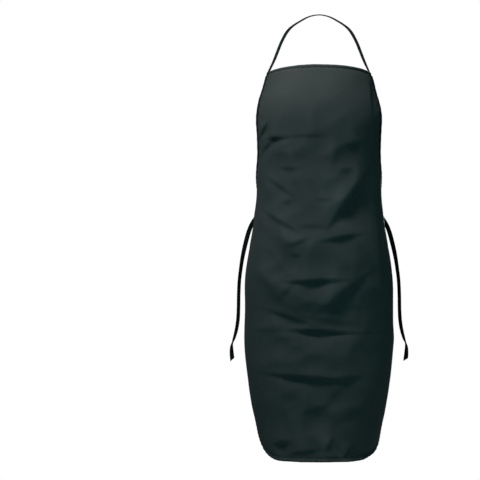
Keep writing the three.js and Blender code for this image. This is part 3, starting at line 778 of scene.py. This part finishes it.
def inward_of(path):
    """The way from an edge into the cloth, on the flat pattern."""
    ahead = unit(np.gradient(path, axis=0))
    inward = np.stack([-ahead[:, 1], ahead[:, 0]], axis=1)
    towards = ((INNER_POINT - path) * inward).sum(axis=1).mean()
    return inward * np.sign(towards)


def edge_rings(path, inward, section):
    """Rings along an edge of the cloth; a section point is in from the edge and out of the cloth."""
    rings, pattern_mm = [], []
    outwards = unit(drape(*path.T)[0] - drape(*(path + EDGE_LOOK * inward).T)[0])
    for inset, height in section:
        flat = path + max(inset, 0) * inward
        place, out = drape(*flat.T)
        rings.append(place + out * height + outwards * max(-inset, 0))
        pattern_mm.append(flat)
    return np.stack(rings, axis=1), np.stack(pattern_mm, axis=1)


top_hem_end = armhole_half(0) - BINDING_WIDTH - HEM_BESIDE_BINDING
hem_top_path = even_path([(-top_hem_end, 0), (top_hem_end, 0)], EDGE_STEP)
corner_turn = np.linspace(0, np.pi / 2, CORNER_STEPS)
one_side = np.vstack([
    [(SKIRT_HALF, WAIST_DOWN + HEM_BELOW_WAIST)],
    np.stack([SKIRT_HALF - CORNER_WIDE * (1 - np.cos(corner_turn)),
              PATTERN_LENGTH - CORNER_TALL * (1 - np.sin(corner_turn))], axis=1),
])
skirt_path = even_path(np.vstack([one_side, one_side[::-1] * (-1, 1)]), EDGE_STEP)
hems = []
for hem_name, path in (("bib_top_hem", hem_top_path), ("skirt_hem", skirt_path)):
    rings, pattern_mm = edge_rings(path, inward_of(path), HEM_SECTION)
    hem = make_piece(hem_name, rings.reshape(-1, 3), strip_faces(*rings.shape[:2]),
                     pattern_mm.reshape(-1, 2), twill)
    paint_wear_and_crest_highlight(hem, pattern_mm.reshape(-1, 2))
    hems.append(hem)

# %% [markdown]
# ## Armhole bindings
#
# The armhole curve can't be turned in neatly: its edge hollows into the cloth, and would have to
# stretch. So a tape is folded over it and sewn through. Its section is a narrow clip round the cloth,
# made along the edge in the same way as the hems.

# %% Armhole bindings
BINDING_SECTION = [  # in from the edge, out of the cloth
    (8, 0.5), (8.05, 1), (7.7, 1.35), (6.9, 1.42), (6.2, 1.25), (5.4, 1.45), (3.2, 1.55), (1, 1.5),
    (-0.5, 1.15), (-1.2, 0.45), (-1.2, -0.45), (-0.5, -1.15), (1, -1.5), (3.2, -1.55), (5.4, -1.45),
    (6.2, -1.25), (6.9, -1.42), (7.7, -1.35), (8.05, -1), (8, -0.5), (4, -0.45), (0.1, -0.45),
    (0.1, 0.45), (4, 0.45),
]
ARMHOLE_STEPS = 300

armhole_down = np.linspace(0, WAIST_DOWN, ARMHOLE_STEPS)
bindings, binding_paths = {}, {}
for binding_name, side in (("armhole_binding_left_tape", 1), ("armhole_binding_right_tape", -1)):
    path = even_path(np.stack([side * armhole_half(armhole_down), armhole_down], axis=1), EDGE_STEP)
    rings, _ = edge_rings(path, inward_of(path), BINDING_SECTION)
    along = np.arange(len(path)) * EDGE_STEP
    insets = np.array(BINDING_SECTION)[:, 0] - BINDING_WIDTH / 2
    pattern_mm = np.stack(np.broadcast_arrays(insets, along[:, None]), axis=2)
    bindings[side] = make_piece(binding_name, rings.reshape(-1, 3), strip_faces(*rings.shape[:2]),
                                pattern_mm.reshape(-1, 2), tape_weave)
    binding_paths[side] = path

# %% [markdown]
# ## Stitches
#
# A seam shows as a row of short thread bridges, each sinking into the cloth at both ends. They are
# small rice-shaped solids in rows along the seam lines of the hems and the bindings. Lines painted
# on the cloth would be lighter work, but they would not catch the light as thread does.

# %% Stitches
STITCH_LENGTH, STITCH_PITCH = 3.0, 4.0  # real ones are 2.5 mm; drawn a little longer, to show
THREAD_RADIUS = 0.32
STITCH_PROFILE = [(0, 0.35), (0.14, 0.8), (0.5, 1), (0.86, 0.8), (1, 0.35)]  # along, thickness
THREAD_SIDES = 6
HEM_STITCH_LIFT = 0.1  # above the cloth's outer face
BINDING_STITCH_RISE = 1.35  # above the middle of the cloth


def stitch_solids(starts, ends, normals):
    """Points, faces and coordinates of stitches from starts to ends."""
    length = np.linalg.norm(ends - starts, axis=1, keepdims=True)
    aside = unit(np.cross(normals, ends - starts))
    around = np.arange(THREAD_SIDES) * 2 * np.pi / THREAD_SIDES
    points, coordinates = [], []
    for at, thick in STITCH_PROFILE:
        sunk = starts + (ends - starts) * at - normals * THREAD_RADIUS * (1 - thick)
        for angle in around:
            spoke = aside * math.cos(angle) + normals * math.sin(angle)
            points.append(sunk + thick * THREAD_RADIUS * spoke)
            turned = np.full_like(length, angle * THREAD_RADIUS)
            coordinates.append(np.hstack([length * at, turned]))
    faces = strip_faces(len(STITCH_PROFILE), THREAD_SIDES)
    per_stitch = len(points)
    all_faces = [tuple(corner + stitch * per_stitch for corner in face)
                 for stitch in range(len(starts)) for face in faces]
    return (np.stack(points, axis=1).reshape(-1, 3), all_faces,
            np.stack(coordinates, axis=1).reshape(-1, 2))


def stitches_along(path, height):
    """Starts, ends and ways out of a row of stitches along a path on the flat pattern."""
    dense = even_path(path, STITCH_PITCH)
    step = dense[1:] - dense[:-1]
    begin, finish = dense[:-1], dense[:-1] + step * STITCH_LENGTH / STITCH_PITCH
    start, out = drape(*begin.T)
    return start + out * height, drape(*finish.T)[0] + out * height, out


def make_stitches(name, runs):
    """One piece that holds several rows of stitches."""
    starts, ends, normals = (np.vstack(part) for part in zip(*runs))
    points, faces, coordinates = stitch_solids(starts, ends, normals)
    return make_piece(name, points, faces, coordinates, thread)


hem_runs = [
    stitches_along(path + HEM_STITCH_LINE * inward_of(path), CLOTH_WALL / 2 + HEM_STITCH_LIFT)
    for path in (hem_top_path, skirt_path)
]
hem_stitches = make_stitches("hem_stitches", hem_runs)
binding_runs = [
    stitches_along(path + BINDING_STITCH_LINE * inward_of(path), BINDING_STITCH_RISE)
    for path in binding_paths.values()
]
binding_stitches = make_stitches("binding_stitches", binding_runs)

# %% [markdown]
# ## Floor
#
# A pale, matt floor lies well below the hem. It fades out at its rim, so no edge shows against the
# white background.

# %% Floor
FLOOR_LEVEL = -1.42
FLOOR_RADIUS = 3.0
FLOOR_SIDES = 96
FLOOR_PATCH = 0.4
FADE_START, FADE_END = 0.45, 0.98  # as parts of the radius

floor_paint, tree = new_material("matt_floor_paint")
floor_place = add_node(tree, "ShaderNodeTexCoord")
floor_grain = add_node(tree, "ShaderNodeTexNoise", values={"Scale": 1 / FLOOR_PATCH, "Detail": 4.0},
                       links={"Vector": (floor_place, "Object")})
floor_colour = add_node(tree, "ShaderNodeMix", {"data_type": "RGBA"},
                        {MIX_A: linear("#efefee"), MIX_B: linear("#f6f6f5")},
                        {0: (floor_grain, "Fac")})
floor_shader = add_node(tree, "ShaderNodeBsdfPrincipled",
                        values={"Roughness": 0.7, "Specular IOR Level": 0.2},
                        links={"Base Color": (floor_colour, MIX_RESULT)})
from_centre = add_node(tree, "ShaderNodeVectorMath", {"operation": "LENGTH"},
                       links={0: (floor_place, "Object")})
rim_fade = add_node(tree, "ShaderNodeMapRange", {"interpolation_type": "SMOOTHSTEP"},
                    {"From Min": FADE_START * FLOOR_RADIUS, "From Max": FADE_END * FLOOR_RADIUS},
                    {"Value": (from_centre, "Value")})
clear = add_node(tree, "ShaderNodeBsdfTransparent")
floor_mix = add_node(tree, "ShaderNodeMixShader",
                     links={0: (rim_fade, "Result"), 1: (floor_shader, "BSDF"), 2: (clear, "BSDF")})
add_node(tree, "ShaderNodeOutputMaterial", links={"Surface": (floor_mix, "Shader")})

disc = bmesh.new()
bmesh.ops.create_circle(disc, cap_ends=True, segments=FLOOR_SIDES, radius=FLOOR_RADIUS)
floor_mesh = bpy.data.meshes.new("studio_floor")
disc.to_mesh(floor_mesh)
disc.free()
floor_mesh.materials.append(floor_paint)
floor = bpy.data.objects.new("studio_floor", floor_mesh)
floor.location = (0, BODY_AXIS_Y, FLOOR_LEVEL)
scene.collection.objects.link(floor)
print(f"floor {-FLOOR_LEVEL:.2f} m below the neck")

# %% [markdown]
# ## Lights
#
# The key light stands high at the left in front and is turned to the bib, so the bib is lightest, the
# skirt fades towards the hem, and faces that turn down or to the right go dark. A weaker light at the
# right keeps the shaded side from going flat. The three level lights from the front and the sides are
# blue-green and give the shadows their cold cast. They are narrow, so most of their light misses the
# floor. A light at the back keeps the inside readable from behind.

# %% Lights
LIGHTS = [  # name, place, size, watts, spread in degrees, colour, and the point it is turned to
    ("key_light", (-0.6, -0.8, 1.1), 0.6, 7.2, 80, "#ffffff", (0, -0.2, -0.05)),
    ("right_light", (0.9, -1.6, 0.9), 1.0, 3.5, 180, "#ffffff", (0, -0.2, -0.3)),
    ("front_light", (0, -3.2, -0.5), 1.2, 0.95, 50, "#00ffff", (0, -0.2, -0.5)),
    ("left_fill", (-2.7, -1.6, -0.5), 1.0, 0.5, 40, "#00ffff", (0, -0.15, -0.5)),
    ("right_fill", (2.7, -1.6, -0.5), 1.0, 0.5, 40, "#00ffff", (0, -0.15, -0.5)),
    ("back_light", (0.5, 3.0, -0.3), 1.0, 6, 50, "#e0ffff", (0, -0.1, -0.5)),
]
WORLD_LIGHT = 0.04

for light_name, place, size, watts, spread, colour, target in LIGHTS:
    lamp = bpy.data.lights.new(light_name, "AREA")
    lamp.shape, lamp.size, lamp.energy = "DISK", size, watts
    lamp.spread, lamp.color = math.radians(spread), linear(colour)[:3]
    holder = bpy.data.objects.new(light_name, lamp)
    holder.location = place
    aim = np.array(target) - np.array(place)
    tilt = math.atan2(math.hypot(aim[0], aim[1]), -aim[2])
    holder.rotation_euler = (tilt, 0, math.atan2(aim[0], -aim[1]) + math.pi)
    scene.collection.objects.link(holder)

world = bpy.data.worlds.new("pale_studio")
world.use_nodes = True
scene.world = world
tree = world.node_tree
tree.nodes.clear()
seen = add_node(tree, "ShaderNodeLightPath")
backdrop = add_node(tree, "ShaderNodeBackground",
                    values={"Color": linear("#ffffff"), "Strength": 1.0})
ambient = add_node(tree, "ShaderNodeBackground",
                   values={"Color": linear("#f0ffff"), "Strength": WORLD_LIGHT})
both = add_node(tree, "ShaderNodeMixShader",
                links={0: (seen, "Is Camera Ray"), 1: (ambient, "Background"),
                       2: (backdrop, "Background")})
add_node(tree, "ShaderNodeOutputWorld", links={"Surface": (both, "Shader")})
scene.view_settings.view_transform = "Standard"
print("lights:", [row[0] for row in LIGHTS])

# %% [markdown]
# ## What each piece stands for
#
# Each piece rides on the imported model's one body. The panel and the tapes take the place of the plain
# solids, and hems and stitches are added to them.

stands_for = [
    (panel, "twill", "apron_panel"),
    (hems[0], "twill", None),
    (hems[1], "twill", None),
    (bindings[1], "tape", "armhole_binding_left"),
    (bindings[-1], "tape", "armhole_binding_right"),
    (neck_strap, "tape", "neck_strap"),
    (ties[1][0], "tape", "waist_tie_left"),
    (ties[-1][0], "tape", "waist_tie_right"),
    (hem_stitches, "twill", None),
    (binding_stitches, "tape", None),
]
for piece, slot, node in stands_for:
    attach(piece, "root")
    if node:
        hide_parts(node)

for tie, stations in ties.values():
    route = [tuple(point) for point in stations[0] * MM]
    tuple(route[0])
